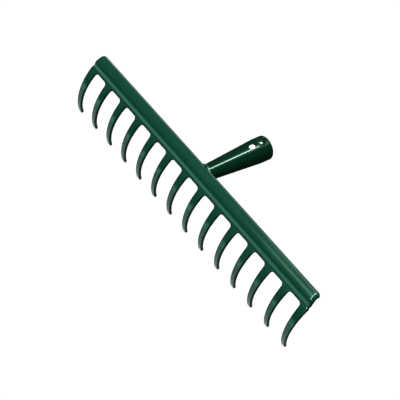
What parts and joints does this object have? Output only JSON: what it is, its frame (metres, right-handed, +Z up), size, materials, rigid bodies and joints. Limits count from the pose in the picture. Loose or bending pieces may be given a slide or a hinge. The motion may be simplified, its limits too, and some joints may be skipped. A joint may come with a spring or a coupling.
{
  "type": "garden rake head",
  "caption": "Level rake head in green painted pressed steel, with curved flat tines and a tapered socket for a wooden handle.",
  "frame": {"origin": "centre of the handle socket's open mouth", "axes": "+X along the bar, +Y out of the socket along the handle, +Z up, away from the tines"},
  "size_m": [0.3744, 0.1098, 0.0838],
  "materials": {
    "head_enamel": "dark green gloss enamel on pressed steel",
    "socket_enamel": "dark green gloss enamel on rolled steel tube",
    "weld_enamel": "dark green enamel over a weld bead"
  },
  "bodies": {
    "root": {"bar": "head_enamel", "tine_01": "head_enamel", "tine_02": "head_enamel", "tine_03": "head_enamel", "tine_04": "head_enamel", "tine_05": "head_enamel", "tine_06": "head_enamel", "tine_07": "head_enamel", "tine_08": "head_enamel", "tine_09": "head_enamel", "tine_10": "head_enamel", "tine_11": "head_enamel", "tine_12": "head_enamel", "tine_13": "head_enamel", "tine_14": "head_enamel", "handle_socket": "socket_enamel", "weld_top": "weld_enamel", "weld_left": "weld_enamel", "weld_right": "weld_enamel"}
  },
  "joints": []
}
